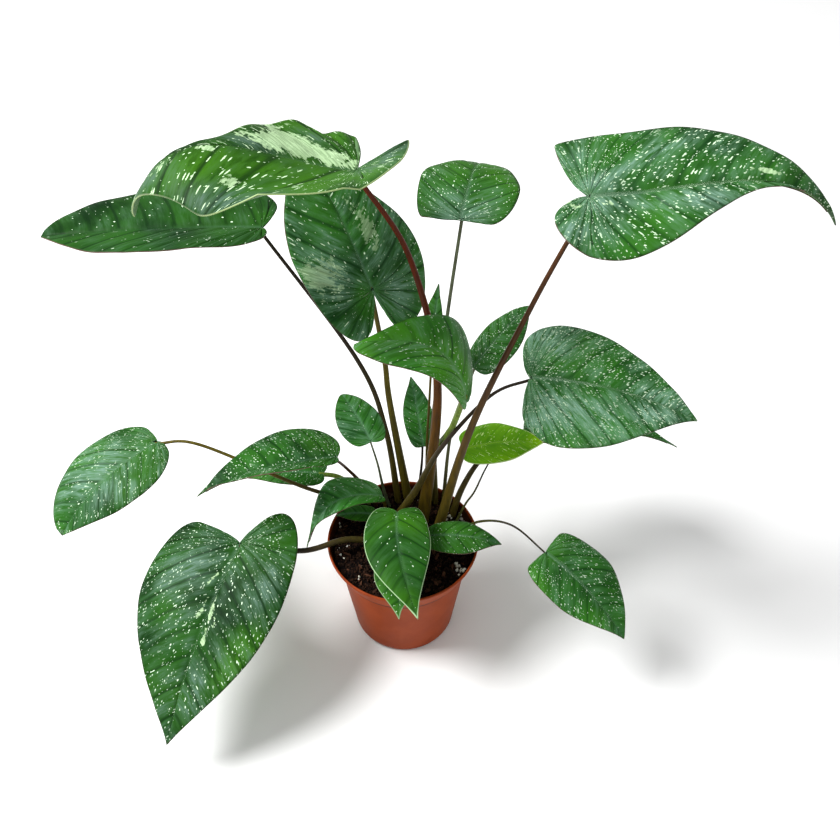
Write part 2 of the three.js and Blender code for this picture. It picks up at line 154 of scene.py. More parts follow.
# Colours, linear
OLIVE = (0.112, 0.088, 0.008)
LIGHT_OLIVE = (0.20, 0.22, 0.045)
BROWN = (0.080, 0.030, 0.010)
RED_BROWN = (0.110, 0.013, 0.001)
DARK = (0.028, 0.020, 0.012)
GREY_GREEN = (0.130, 0.150, 0.085)
GREEN = (0.170, 0.260, 0.040)
STALK_SHADE = (0.02, 0.015, 0.008)
EDGE_BROWN = (0.060, 0.040, 0.025)
UNDERSIDE = ((0.060, 0.150, 0.045), (0.100, 0.215, 0.070))
TERRACOTTA = ((0.245, 0.036, 0.005), (0.300, 0.048, 0.008))
POT_MARK = (0.15, 0.025, 0.01)
INNER_DARK = (0.012, 0.006, 0.004)
PEAT = ((0.003, 0.002, 0.002), (0.045, 0.020, 0.012))

# Kinds of fleck, which are dots, dashes and dust: cells in a millimetre along the vein on a plain and
# on a streaky leaf, cells across it, size in a cell, and share of cells on a plain and a streaky leaf
FLECK_KINDS = [(0.42, 0.42, 1.0, 0.26, 0.30, 0.10), (0.13, 0.075, 1.4, 0.22, 0.18, 0.45),
               (0.8, 0.8, 1.8, 0.27, 0.12, 0.06)]

# One entry for each leaf, with the CAD source's values.
# low and high: the stalk's colour at its foot and at the blade; tone: 0 dark to 1 bright green;
# painted_sheen: how much painted sheen, a grey-blue painted reflection of the sky, lies between the
# veins; specks: how many; streaky: drawn out to 1; gain: lighter above 1, partly the leaf's own green
# and partly painted light and shade for how much light the leaf gets; edge: pale rather than brown at
# 1; splash: how strong the cream places are; veins: laterals in each half.
LEAVES = [
    dict(name="leaf_a", base=(-22, 10, 427), tip=(-152, 0, 402), half=(56, 45), lobe=(35, 0),
         rear=(0.12, 0.8), pitch=(36, 0), broad=(0.38, 0.22), point=(0.9, 7), fold=(18, 6),
         curl=(-10, -20), arch=(10, 74), wave=((30, 0.88, 0.16), (2, 6.6, 0.35)),
         stalk=((15, 24), (26, 24, 241), (8, 24, 352)), radii=(5.5, 1.5),
         low=OLIVE, high=RED_BROWN, tone=1.0, painted_sheen=0.2, specks=0.72, gain=0.45,
         streaky=0.9, edge=0.4, splash=0.85, veins=13),
    dict(name="leaf_b", base=(-91, 64, 350), tip=(-241, 68, 340), half=(34, 52), lobe=(4, 7),
         rear=(0.2, 0.45), broad=(0.55, 0.35), point=(0.8, 0.55), fold=(20, 8), curl=(-20, -20),
         arch=(4, 2), stalk=((-4, 46), (-13, 46, 176), (-32, 52, 243)), radii=(3, 1.2),
         low=OLIVE, high=DARK, tone=0.1, painted_sheen=0.25, specks=0.14, gain=0.58, veins=12),
    dict(name="leaf_c", base=(-18, 34, 322), tip=(-68, 88, 402), half=(44, 50), lobe=(27, 35),
         rear=(0.45, 0.22), fold=(6, 4), curl=(-20, -20), broad=(0.35, 0.1), point=(1, 1.8),
         arch=(8, 12), stalk=((5, 45), (-9, 47, 202), (-12, 44, 251)), radii=(4, 1.6),
         low=OLIVE, high=OLIVE, tone=0.1, painted_sheen=0.6, specks=0.45, gain=1.1,
         streaky=0.5, splash=0.55, veins=12),
    dict(name="leaf_d", base=(39, 29, 380), tip=(54, 104, 373), half=(32, 32), lobe=(1, 1),
         rear=(0.75, 0.5), fold=(4, 2), curl=(-10, -20), point=(0.9, 0.7), broad=(0.4, 0.4),
         arch=(12, 16), stalk=((26.5, 42), (25, 49, 130), (23, 51, 172), (32, 42, 291)),
         radii=(2.6, 1.1), low=OLIVE, high=GREY_GREEN, tone=0.45, painted_sheen=0.35, specks=0.45,
         gain=0.72, veins=10),
    dict(name="leaf_e", base=(110, 1, 415), tip=(262, 12, 388), roll=-12, half=(49, 42),
         lobe=(16, 22), rear=(0.8, 0.45), fold=(14, 0), point=(1.35, 4.4), broad=(0.2, 0.08),
         arch=(6, 56), stalk=((27, 17), (49, 0, 224), (83, -6, 342)), radii=(4.5, 1.4),
         low=OLIVE, high=BROWN, tone=0.15, painted_sheen=0.5, specks=1.1, gain=0.95, streaky=0.3,
         veins=13),
    dict(name="leaf_f", base=(89, 10, 265), tip=(205, -7, 240), roll=-12, half=(50, 51),
         lobe=(8, 2), rear=(0.5, 0.5), point=(1.1, 1.2), broad=(0.15, 0.22), arch=(14, 14),
         stalk=((-8, 30), (10, 15, 140), (29, 5, 200), (63, 12, 246)), radii=(3.8, 1.1),
         low=OLIVE, high=DARK, tone=0.2, painted_sheen=0.5, specks=1.35, gain=1.36,
         streaky=0.25, veins=12),
    dict(name="leaf_g", base=(53, 56, 232), tip=(97, 106, 250), half=(14, 19), lobe=(0, 1),
         rear=(0.2, 0.45), point=(0.9, 0.9), broad=(0.45, 0.35), arch=(4, 4),
         stalk=((32, 38), (37, 52, 158), (46, 56, 199)), radii=(1.8, 1),
         low=OLIVE, high=GREY_GREEN, tone=0.2, painted_sheen=0.5, specks=0.6, gain=0.68, veins=9),
    dict(name="leaf_h", base=(43, -29, 280), tip=(-28, -16, 318), half=(24, 42), lobe=(0, 8),
         rear=(0.2, 0.6), fold=(10, 8), point=(0.5, 1.25), broad=(0.6, 0.2), arch=(42, 32),
         stalk=((18, 40), (25, 40, 153), (34, 20, 199), (37, 8, 220)), radii=(2.6, 2.2),
         low=GREEN, high=GREEN, tone=0.45, painted_sheen=0.5, specks=0.45, gain=1.36, veins=10),
    dict(name="leaf_i", base=(22, 50, 255), tip=(27, 82, 290), half=(9, 6), lobe=(3, 3),
         point=(1.2, 1.2), broad=(0.3, 0.3), arch=(2, 2),
         stalk=((19, 46.5), (19, 51, 150), (20.5, 51, 200)), radii=(1.4, 0.9),
         low=OLIVE, high=OLIVE, tone=0.2, painted_sheen=0.3, specks=0.3, gain=1.2, veins=6),
    dict(name="leaf_j", base=(-22, 7, 205), tip=(-45, 46, 214), half=(17, 16), lobe=(1, 3),
         point=(0.75, 0.75), broad=(0.35, 0.35), arch=(4, 4),
         stalk=((-10, 38), (-16, 40, 112), (-19, 26, 158)), radii=(1.5, 0.7),
         low=GREY_GREEN, high=GREY_GREEN, tone=0.25, painted_sheen=0.7, specks=0.15, gain=1.2, veins=8),
    dict(name="leaf_k", base=(16, 54, 149), tip=(6, 101, 181), half=(12, 12), lobe=(0, 0),
         point=(1.1, 1.1), broad=(0.4, 0.4), arch=(4, 4),
         stalk=((11, 49.5), (13, 51, 105), (15, 54, 130)), radii=(1.6, 0.9),
         low=DARK, high=DARK, tone=0.1, painted_sheen=0.3, specks=0.3, gain=1.5, veins=8),
    dict(name="leaf_l", base=(-50, 23, 170), tip=(-156, 1, 150), half=(15, 36), lobe=(1, 4),
         rear=(0.2, 0.28), fold=(38, 10), point=(1.6, 1.5), broad=(0.35, 0.3), arch=(10, 16),
         stalk=((-19, 38), (-32, 45, 110), (-46, 43, 136)), radii=(1.8, 1.1),
         low=BROWN, high=BROWN, tone=0.3, painted_sheen=0.25, specks=0.7, gain=0.86, veins=11),
    dict(name="leaf_m", base=(-67, 54, 116), tip=(-134, 52, 112), half=(14, 20), lobe=(2, 4),
         point=(1.1, 1.1), arch=(6, 6), stalk=((-24, 42), (-38, 46, 106), (-54, 54, 112)),
         radii=(2.2, 1.9), low=GREEN, high=GREEN, tone=0.3, painted_sheen=0.2, specks=0.5, veins=9),
    dict(name="leaf_n", base=(-191, 44, 165), tip=(-258, -21, 130), half=(34, 38), lobe=(2, 2),
         rear=(0.2, 0.45), point=(0.9, 0.5), broad=(0.35, 0.5), arch=(16, 16),
         stalk=((-26, 32), (-52, 32, 110), (-84, 30, 130), (-158, 40, 166)), radii=(2, 1.2),
         low=DARK, high=OLIVE, tone=0.25, painted_sheen=0.9, specks=0.6, gain=0.83,
         streaky=0.2, veins=11),
    dict(name="leaf_o", base=(-124, -22, 122), tip=(-173, -145, 40), half=(51, 61),
         lobe=(34, 6), rear=(0.45, 0.6), point=(1.05, 1.25), broad=(0.24, 0.28), arch=(18, 18),
         stalk=((-6, 4), (-42, -6, 106), (-77, -20, 110)), radii=(3, 1.9),
         low=OLIVE, high=DARK, tone=0.2, painted_sheen=0.7, specks=0.64, gain=0.6, veins=13),
    dict(name="leaf_p", base=(110, -25, 114), tip=(169, -75, 72), half=(34, 28), lobe=(2, 2),
         rear=(0.6, 0.7), point=(1, 1.1), broad=(0.4, 0.3), arch=(10, 10),
         stalk=((40, 14), (60, 10, 108), (85, -4, 121)), radii=(1.3, 0.7),
         low=LIGHT_OLIVE, high=DARK, tone=0.35, painted_sheen=0.35, specks=0.7, gain=1.15, veins=10),
    dict(name="leaf_q", base=(49, 59, 140), tip=(114, 68, 138), half=(26, 21), lobe=(2, 2),
         fold=(4, 10), point=(0.9, 0.9), broad=(0.35, 0.35), arch=(6, 6),
         stalk=((34, 33), (38, 41, 115), (44, 54, 130)), radii=(2, 1.5),
         low=OLIVE, high=GREEN, tone=1.0, painted_sheen=0.0, specks=0.6, gain=1.6, edge=1.0, streaky=0.8,
         veins=10),
    dict(name="leaf_r", base=(100, 88, 134), tip=(227, 75, 125), half=(34, 14), lobe=(0, 1),
         rear=(0.1, 0.4), fold=(6, 0), point=(2.2, 2.2), broad=(0.45, 0.2), arch=(4, 22),
         stalk=((38, 28), (48, 40, 115), (67, 62, 130)), radii=(3.2, 1.6),
         low=OLIVE, high=DARK, tone=0.1, painted_sheen=0.5, specks=0.6, veins=11),
    dict(name="leaf_s", base=(-4, -2, 134), tip=(12, -85, 114), half=(25, 25), lobe=(6, 5),
         rear=(0.5, 0.5), point=(1.25, 1.25), broad=(0.3, 0.3), arch=(12, 12), sway=(8, 6),
         stalk=((2, 12), (0, 12, 100), (-2, 7, 120)), radii=(1.9, 1.2),
         low=GREEN, high=GREEN, tone=0.55, painted_sheen=0.15, specks=0.12, gain=0.66, edge=1.0, veins=9),
    dict(name="leaf_t", base=(23, -7, 112), tip=(77, -14, 110), half=(15, 17), lobe=(4, 4),
         point=(1.1, 1.1), broad=(0.38, 0.38), arch=(6, 6),
         stalk=((12, 8), (15, 6, 96), (19, 0, 106)), radii=(1.6, 1.1),
         low=GREEN, high=GREEN, tone=0.3, painted_sheen=0.2, specks=0.3, gain=0.84, veins=8),
    dict(name="leaf_u", base=(-17, 29, 117), tip=(-78, 2, 84), half=(12, 23), lobe=(0, 1),
         fold=(20, 8), point=(3, 3), broad=(0.35, 0.35), arch=(46, 28),
         stalk=((-16, 29), (-16, 30, 95), (-15, 30, 106)), radii=(1.8, 1.3),
         low=OLIVE, high=OLIVE, tone=0.1, painted_sheen=0.4, specks=0.4, gain=1.75, veins=7),
    dict(name="leaf_v", base=(-24, 20, 105), tip=(-54.5, 20, 103), half=(8, 9), lobe=(2, 2),
         point=(1.2, 1.2), broad=(0.35, 0.35), arch=(3, 3),
         stalk=((-22, 16), (-22, 16, 92), (-22, 18, 99)), radii=(1.2, 0.8),
         low=OLIVE, high=OLIVE, tone=0.4, painted_sheen=0.1, specks=0.2, gain=1.4, veins=6),
    dict(name="leaf_w", base=(-1, -12, 106), tip=(-2, -74, 97), half=(19, 20), lobe=(5, 5),
         point=(1.9, 1.2), broad=(0.45, 0.45), arch=(8, 10),
         stalk=((4, 0), (3, -2, 94), (1, -8, 101)), radii=(1.6, 1.2),
         low=GREEN, high=GREEN, tone=0.35, painted_sheen=0.1, specks=0.2, gain=0.95, edge=0.6, veins=8),
    dict(name="leaf_x", base=(76, 75, 121), tip=(97, 85, 123), half=(8, 8), lobe=(2, 2),
         point=(1, 1), broad=(0.3, 0.3), arch=(2, 2),
         stalk=((40, 22), (50, 31, 103.5), (58, 40, 110), (67, 56, 119)), radii=(1.1, 0.6),
         low=LIGHT_OLIVE, high=DARK, tone=0.1, painted_sheen=0.3, specks=0.3, veins=6),
]
LEAF_DEFAULTS = dict(roll=0, rear=(0.45, 0.45), pitch=(0, 0), broad=(0.2, 0.2), fold=(8, 8),
                     curl=(-25, -25), arch=(0, 0), sway=(0, 0), wave=((0, 3, 0), (0, 3, 0)), gain=1,
                     streaky=0, edge=0.0, splash=1.0)

# Marks on single leaves, by leaf and half (0 left, 1 right): cream places, painted grey-blue
# gloss that stands for reflected sky, and painted sunlit bright green places. Each is a bell in the
# leaf's plane: x, y, length, width, turn in degrees and strength.
CREAM = {
    ("leaf_a", 1): [(14, 9, 20, 6, 24, 0.9), (38, 22, 17, 10, 46, 0.9), (40, 9, 20, 6, 6, 0.9)],
    ("leaf_a", 0): [(75, 6, 9, 3.5, -10, 0.75), (104, 12, 12, 5, 40, 0.5), (60, 30, 9, 6, 0, 0.45)],
    ("leaf_c", 1): [(40, 13, 18, 6, -12, 0.9)],
    ("leaf_c", 0): [(23, 31, 15, 11, 60, 0.9)],
    ("leaf_e", 0): [(98, 7, 9, 1.5, -10, 0.9)],
    ("leaf_e", 1): [(-9, 9, 3.5, 1.8, 0, 0.8), (-13, 5, 3, 2, 0, 0.8), (9, 6, 4, 2, 0, 0.8)],
    ("leaf_o", 0): [(54, 2.5, 12, 1.3, 8, 1.0), (76, 5, 8, 1.6, 4, 0.9), (60, 8, 7, 1, 10, 0.7)],
    ("leaf_o", 1): [(30, 6, 14, 0.9, 20, 0.9), (55, 5, 9, 1, 5, 0.8)],
}
# Painted gloss: grey-blue patches that stand for the sky reflected on the glossy blade.
PAINTED_GLOSS = {
    ("leaf_a", 1): [(56, 6, 14, 5, 10, 1.0), (26, 27, 9, 5, 40, 0.9)],
    ("leaf_a", 0): [(66, 45, 28, 9, -20, 1.0), (110, 14, 16, 9, 0, 0.7), (-18, 14, 18, 14, 0, 1.0)],
    ("leaf_c", 1): [(-12, 16, 14, 12, 0, 0.8), (30, 30, 20, 8, 20, 0.5)],
    ("leaf_c", 0): [(24, 24, 16, 12, 40, 0.6)],
    ("leaf_d", 0): [(5, 9, 18, 9, 20, 0.8)],
    ("leaf_d", 1): [(5, 9, 18, 9, 20, 0.8)],
    ("leaf_e", 0): [(32, 22, 34, 3.5, 25, 1.0), (2, 8, 16, 8, 0, 0.7), (-9, 27, 12, 8, 0, 0.6)],
    ("leaf_e", 1): [(52, 10, 26, 6, 5, 1.0), (-10, 26, 14, 7, 0, 0.9), (2, 6, 12, 6, 0, 0.8)],
    ("leaf_f", 0): [(8, 30, 20, 15, 0, 0.9), (90, 5, 18, 6, 0, 0.8)],
    ("leaf_f", 1): [(30, 24, 34, 13, 15, 1.0), (4, 38, 16, 8, 0, 0.7), (82, 12, 22, 7, -10, 0.8)],
    ("leaf_n", 1): [(46, 12, 34, 12, 0, 0.8)],
    ("leaf_n", 0): [(50, 8, 30, 9, 0, 0.5)],
    ("leaf_o", 1): [(30, 27, 24, 12, 30, 0.9)],
    ("leaf_o", 0): [(108, 12, 16, 8, 0, 0.7), (26, 34, 18, 10, 0, 0.8)],
}
SUNLIT = {
    ("leaf_a", 0): [(84, 20, 36, 20, 0, 1.0), (36, 18, 22, 10, 0, 0.8)],
    ("leaf_a", 1): [(20, 36, 26, 16, 0, 1.0), (90, 20, 30, 16, 0, 0.8)],
    ("leaf_d", 0): [(48, 14, 30, 20, 0, 0.35)],
    ("leaf_d", 1): [(48, 14, 30, 20, 0, 0.3)],
    ("leaf_o", 0): [(82, 35, 28, 13, -20, 1.0)],
}

# Spots of perlite that lie together on the soil: x, y and how many grains
PERLITE_SPOTS = [(46, -25, 7), (43, -20, 6), (48, 30, 5), (47, 25, 4), (36, 27, 5), (33, 30, 4),
                 (-34, -34, 2), (-47, -11, 2), (-51, 21, 2), (29, -40, 1), (-41, -2, 2)]


# Curves

def unit(a):
    """a divided by its length, along the last axis."""
    return a / np.linalg.norm(a, axis=-1, keepdims=True)


def bezier(points, s):
    """Cubic Bezier (1-s)^3 a + 3(1-s)^2 s b + 3(1-s) s^2 c + s^3 d at each s, and its unit tangent."""
    a, b, c, d = points
    s = s[..., None]
    r = 1 - s
    place = r ** 3 * a + 3 * r ** 2 * s * b + 3 * r * s ** 2 * c + s ** 3 * d
    slope = r ** 2 * (b - a) + 2 * r * s * (c - b) + s ** 2 * (d - c)
    return place, unit(slope)


def catmull_rom(points, steps):
    """Uniform Catmull-Rom curve through the points, sampled at equal lengths. Past each end the
    curve is given a point that mirrors the second about the first."""
    p = np.asarray(points, float)
    p = np.vstack([2 * p[0] - p[1], p, 2 * p[-1] - p[-2]])
    spans = len(p) - 3
    t = np.linspace(0, spans, CURVE_SAMPLES)
    k = np.minimum(t.astype(int), spans - 1)
    w = (t - k)[:, None]
    a, b, c, d = p[k], p[k + 1], p[k + 2], p[k + 3]
    place = 0.5 * (2 * b + (c - a) * w + (2 * a - 5 * b + 4 * c - d) * w ** 2
                   + (3 * b - a - 3 * c + d) * w ** 3)
    run = np.r_[0, np.cumsum(np.linalg.norm(np.diff(place, axis=0), axis=1))]
    even = np.linspace(0, run[-1], steps + 1)
    return np.stack([np.interp(even, run, place[:, i]) for i in range(3)], axis=1)


# Leaf shape

def prepare(entry):
    """A leaf entry with its defaults, its length, its own axes and its midrib's Bezier points."""
    leaf = {**LEAF_DEFAULTS, **entry}
    base = np.array(leaf["base"], float)
    chord = np.array(leaf["tip"], float) - base
    leaf["length"] = np.linalg.norm(chord)
    along = unit(chord)
    out = unit(UP - UP.dot(along) * along)
    across = np.cross(along, out)
    roll = math.radians(leaf["roll"])
    leaf["out"] = out * math.cos(roll) - across * math.sin(roll)
    leaf["across"] = across * math.cos(roll) + out * math.sin(roll)
    handles = [base + chord * (k + 1) / 3 + leaf["out"] * leaf["arch"][k]
               + leaf["across"] * leaf["sway"][k] for k in (0, 1)]
    leaf["midrib"] = (base, *handles, base + chord)
    return leaf


def outline(leaf, side, v):
    """The margin in the leaf's plane. A quarter wave runs back to the lobe's end, a second one
    forward to the widest place, and then the width falls as a power of a cosine to the tip."""
    length = leaf["length"]
    width = leaf["half"][side]
    lobe = leaf["lobe"][side]
    widest = leaf["broad"][side] * length
    rear = leaf["rear"][side] * width
    a = np.pi / 2 * np.clip(v / LOBE_END, 0, 1)
    b = np.pi / 2 * np.clip((v - LOBE_END) / (SHOULDER_END - LOBE_END), 0, 1)
    s = np.clip((v - SHOULDER_END) / (1 - SHOULDER_END), 0, 1)
    x = np.select([v < LOBE_END, v < SHOULDER_END],
                  [-lobe * np.sin(a), widest - (widest + lobe) * np.cos(b)],
                  widest + (length - widest) * s)
    y = np.select([v < LOBE_END, v < SHOULDER_END],
                  [rear * (LOBE_ROUND * (1 - np.cos(a)) + LOBE_RISE * np.sin(a)),
                   rear + (width - rear) * np.sin(b)],
                  width * np.maximum(0, np.cos(np.pi / 2 * s)) ** leaf["point"][side])
    return x, y


def vein_number(leaf, side, v):
    """The margin's length from the sinus to v, counted in lateral veins."""
    fine = np.linspace(0, 1, CURVE_SAMPLES)
    x, y = outline(leaf, side, fine)
    run = np.r_[0, np.cumsum(np.hypot(np.diff(x), np.diff(y)))]
    return np.interp(v, fine, run / run[-1]) * leaf["veins"]


def midrib_frame(leaf, s):
    """Place, tangent, across and outward directions on the midrib at s."""
    place, along = bezier(leaf["midrib"], s)
    across = unit(leaf["across"] - (along @ leaf["across"])[..., None] * along)
    return place, along, across, np.cross(across, along)


def blade_points(leaf, side, u, v):
    """The blade at u along the lateral vein that ends at v. The half rises by fold, bends by curl,
    waves more towards its margin, bulges between its veins, and dips at them and at the midrib.
    The rise and the waves die away with the cube of v towards the lobes' ends. A low swell, the
    product of two sines, and a ripple with the fourth power of u are added."""
    xe, ye = outline(leaf, side, v)
    both = [outline(leaf, k, v) for k in (0, 1)]
    start = (both[0][0] + both[1][0] - VEIN_SLANT * (both[0][1] + both[1][1])) / 2
    xm = np.clip(start, 0, leaf["length"])
    x = xm + (xe - xm) * u - VEIN_BOW * ye * np.sin(np.pi * u) * (xe > 0)
    y = ye * u
    place, along, across, out = midrib_frame(leaf, np.clip(x / leaf["length"], 0, 1))
    pitch = math.radians(leaf["pitch"][side])
    back = np.minimum(x, 0)
    level = np.minimum(1, v / LOBE_LEVEL) ** 3
    lift = level * np.radians(leaf["fold"][side] + leaf["curl"][side] * y / (2 * leaf["half"][side]))
    amplitude, count, phase = leaf["wave"][side]
    fade = np.minimum(1, np.minimum(v / RIPPLE_FADE, (1 - v) / RIPPLE_FADE))
    growth = level * u ** WAVE_GROWTH * ye / leaf["half"][side]
    wave = amplitude * np.sin(2 * np.pi * (count * v + phase)) * growth
    height = y * np.sin(lift) + wave
    number = vein_number(leaf, side, v)
    ridge = np.abs(np.sin(np.pi * number))
    size = min(1, leaf["length"] / FULL_RELIEF_LENGTH)
    middle = np.clip(u / QUILT_START, 0, 1) * np.clip((1 - u) / QUILT_END, 0, 1)
    height = height + QUILT * size * ridge ** QUILT_FULLNESS * middle
    height = height - GROOVE * size * np.exp(-(y / GROOVE_WIDTH) ** 2)
    height = height + SWELL * size * np.sin(x / SWELL_LENGTH + 2 * side) * np.sin(y / SWELL_WIDTH) * u
    height = height + RIPPLE * size * np.sin(RIPPLE_COUNT * np.pi * v + side) * u ** 4 * fade
    point = (place + (back * math.cos(pitch))[..., None] * along
             + ((1 if side else -1) * y * np.cos(lift))[..., None] * across
             + (height - back * math.sin(pitch))[..., None] * out)
    values = dict(ridge=ridge * np.clip(u / VEIN_START, 0, 1), rib=np.exp(-(y / RIB_LINE_WIDTH) ** 2),
                  reach=u, flat_x=x, flat_y=y, number=number, run=np.hypot(x - xm, y),
                  inset=(1 - u) * np.hypot(xe - xm, ye))
    return point, values


def patch(values, x, y, length, width, turn):
    """1 at (x, y) in the leaf's plane and falling as a bell, length by width, turned by turn."""
    c, s = math.cos(math.radians(turn)), math.sin(math.radians(turn))
    dx, dy = values["flat_x"] - x, values["flat_y"] - y
    return np.exp(-((dx * c + dy * s) / length) ** 2 - ((dy * c - dx * s) / width) ** 2)


def marks(table, leaf, side, values):
    """The sum of the table's bells for this half of the leaf, at most 1."""
    total = np.zeros_like(values["reach"])
    for x, y, length, width, turn, strength in table.get((leaf["name"], side), []):
        total = total + strength * patch(values, x, y, length, width, turn)
    return np.minimum(total, 1)


# Meshes

def make_object(name, points, faces, materials):
    """An object at the origin from points in millimetres."""
    mesh = bpy.data.meshes.new(name)
    mesh.from_pydata((np.asarray(points).reshape(-1, 3) * MM).tolist(), [], np.asarray(faces).tolist())
    obj = bpy.data.objects.new(name, mesh)
    bpy.context.collection.objects.link(obj)
    for material in materials:
        mesh.materials.append(material)
    return obj


def add_values(obj, values):
    """Stores each array as a point attribute of the mesh."""
    for name, array in values.items():
        layer = obj.data.attributes.new(name, "FLOAT", "POINT")
        layer.data.foreach_set("value", np.asarray(array, np.float32).ravel())


def merge_points(obj):
    """Merges points that meet at poles and seams, which turns flat quads there into triangles."""
    work = bmesh.new()
    work.from_mesh(obj.data)
    bmesh.ops.remove_doubles(work, verts=work.verts, dist=MERGE_DISTANCE)
    work.to_mesh(obj.data)
    work.free()
    obj.data.shade_smooth()


def grid_faces(rows, columns, wrap=False):
    """Quads of a grid of points with rows x columns places, joined round in columns if wrap."""
    i, j = np.meshgrid(np.arange(rows - 1), np.arange(columns if wrap else columns - 1), indexing="ij")
    k = (j + 1) % columns
    near, far = i * columns, (i + 1) * columns
    return np.stack([near + j, near + k, far + k, far + j], axis=-1).reshape(-1, 4)


def blade(leaf, index):
    """Both halves as one grid: rows follow the margin from the sinus to the tip, and columns run
    from the left margin over the midrib to the right margin."""
    large = leaf["length"] > LARGE_BLADE
    lobe_rows, shoulder_rows, tip_rows = LARGE_ROWS if large else SMALL_ROWS
    half_columns = LARGE_HALF_COLUMNS if large else SMALL_HALF_COLUMNS
    stations = np.concatenate([np.linspace(0, LOBE_END, lobe_rows, endpoint=False),
                               np.linspace(LOBE_END, SHOULDER_END, shoulder_rows, endpoint=False),
                               np.linspace(SHOULDER_END, 1, tip_rows + 1)])
    reach = np.linspace(0, 1, half_columns + 1)
    v, u = np.meshgrid(stations, reach, indexing="ij")
    halves = []
    for side in (0, 1):
        points, values = blade_points(leaf, side, u, v)
        # Cream places, painted gloss and painted sunlit places, from the tables of marks.
        values["cream"] = marks(CREAM, leaf, side, values)
        values["painted_gloss"] = marks(PAINTED_GLOSS, leaf, side, values)
        values["sunlit"] = marks(SUNLIT, leaf, side, values)
        values["flat_y"] = values["flat_y"] * (1 if side else -1)
        values["pale_edge"] = np.full(v.shape, leaf["edge"])
        values["number"] = values["number"] + HALF_STEP * side + LEAF_STEP * index
        halves.append((points, values))
    (left, left_values), (right, right_values) = halves
    points = np.concatenate([left[:, :0:-1], right], axis=1)
    values = {name: np.concatenate([left_values[name][:, :0:-1], right_values[name]], axis=1)
              for name in right_values}
    for name in ("tone", "painted_sheen", "specks", "gain", "streaky", "splash"):
        values[name] = np.full(points.shape[:2], leaf[name])
    materials = [LIME_TOP if leaf["name"] == "leaf_q" else LEAF_TOP, LEAF_UNDER,
                 PALE_MARGIN if leaf["edge"] > 0 else MARGIN]
    obj = make_object(f"{leaf['name']}_look", points, grid_faces(*points.shape[:2]), materials)
    add_values(obj, values)
    merge_points(obj)
    solid = obj.modifiers.new("thickness", "SOLIDIFY")
    solid.thickness = BLADE_THICKNESS * MM
    solid.offset = 0
    solid.material_offset = 1
    solid.material_offset_rim = 2
    return obj


def tube(path, radius):
    """Rings round a path. Each ring's first direction is square to the path and to Y, and each end
    closes on a point."""
    path = np.vstack([path[0], path, path[-1]])
    radius = np.r_[0, radius, 0]
    slope = np.gradient(path, axis=0)
    slope[0], slope[-1] = slope[1], slope[-2]
    along = unit(slope)
    first = unit(np.cross(np.array([0.0, 1.0, 0.0]), along))
    second = np.cross(along, first)
    angle = np.linspace(0, 2 * np.pi, STALK_SIDES, endpoint=False)
    ring = (np.cos(angle)[None, :, None] * first[:, None]
            + np.sin(angle)[None, :, None] * second[:, None])
    points = path[:, None] + radius[:, None, None] * ring
    return points, grid_faces(len(path), STALK_SIDES, wrap=True)


def stalk(leaf):
    """The stalk from the soil to its blade and the rib that it becomes under the blade. Both
    radii fall as a power of the way that is left. height runs from 0 at the foot to 1 at the
    blade."""
    foot, *way = leaf["stalk"]
    foot_radius, top_radius = leaf["radii"]
    seat_at = (top_radius + SEAT_MARGIN) / leaf["length"]
    seat = bezier(leaf["midrib"], np.array([seat_at]))[0][0] - leaf["out"]
    path = catmull_rom([(*foot, STALK_FOOT_Z), *way, seat], STALK_STEPS)
    t = np.linspace(0, 1, STALK_STEPS + 1)
    radius = top_radius + (foot_radius - top_radius) * (1 - t) ** STALK_TAPER
    stem, stem_faces = tube(path, radius)
    s = np.linspace(RIB_START, RIB_END, RIB_STEPS)
    place, _, _, out = midrib_frame(leaf, s)
    rib_radius = RIB_LEAST + RIB_SHARE * top_radius * (1 - s) ** RIB_TAPER
    under = BLADE_THICKNESS / 2 + GROOVE + RIB_DROP * rib_radius[:, None]
    rib, rib_faces = tube(place - out * under, rib_radius)
    height = np.concatenate([np.repeat(np.r_[0, t, 1], STALK_SIDES),
                             np.repeat(np.ones(len(s) + 2), STALK_SIDES)])
    points = np.concatenate([stem.reshape(-1, 3), rib.reshape(-1, 3)])
    faces = np.concatenate([stem_faces, rib_faces + stem.shape[0] * STALK_SIDES])
    obj = make_object(f"{leaf['name']}_stalk_look", points, faces, [STALK])
    mix = np.minimum(TINT_RATE * height[:, None], 1) ** TINT_CURVE
    tint = np.array(leaf["low"]) * (1 - mix) + np.array(leaf["high"]) * mix
    layer = obj.data.attributes.new("tint", "FLOAT_COLOR", "POINT")
    layer.data.foreach_set("color", np.c_[tint, np.ones(len(tint))].astype(np.float32).ravel())
    add_values(obj, dict(height=height))
    merge_points(obj)
    return obj


def lathe(profile, segments, lower=None):
    """Rings of a profile of radius and height about Z. lower, if given, moves the heights from
    radius, angle and height."""
    profile = np.asarray(profile, float)
    angle = np.linspace(0, 2 * np.pi, segments, endpoint=False)
    radius = np.repeat(profile[:, :1], segments, axis=1)
    height = np.repeat(profile[:, 1:], segments, axis=1)
    turn = np.repeat(angle[None], len(profile), axis=0)
    if lower is not None:
        height = lower(radius, turn, height)
    points = np.stack([radius * np.cos(turn), radius * np.sin(turn), height], axis=-1)
    return points, grid_faces(len(profile), segments, wrap=True)


def smooth_profile(points):
    """A profile through the points by Catmull-Rom, for a moulded curve."""
    flat = [(r, z, 0) for r, z in points]
    return catmull_rom(flat, PROFILE_STEPS * (len(points) - 1))[:, :2]


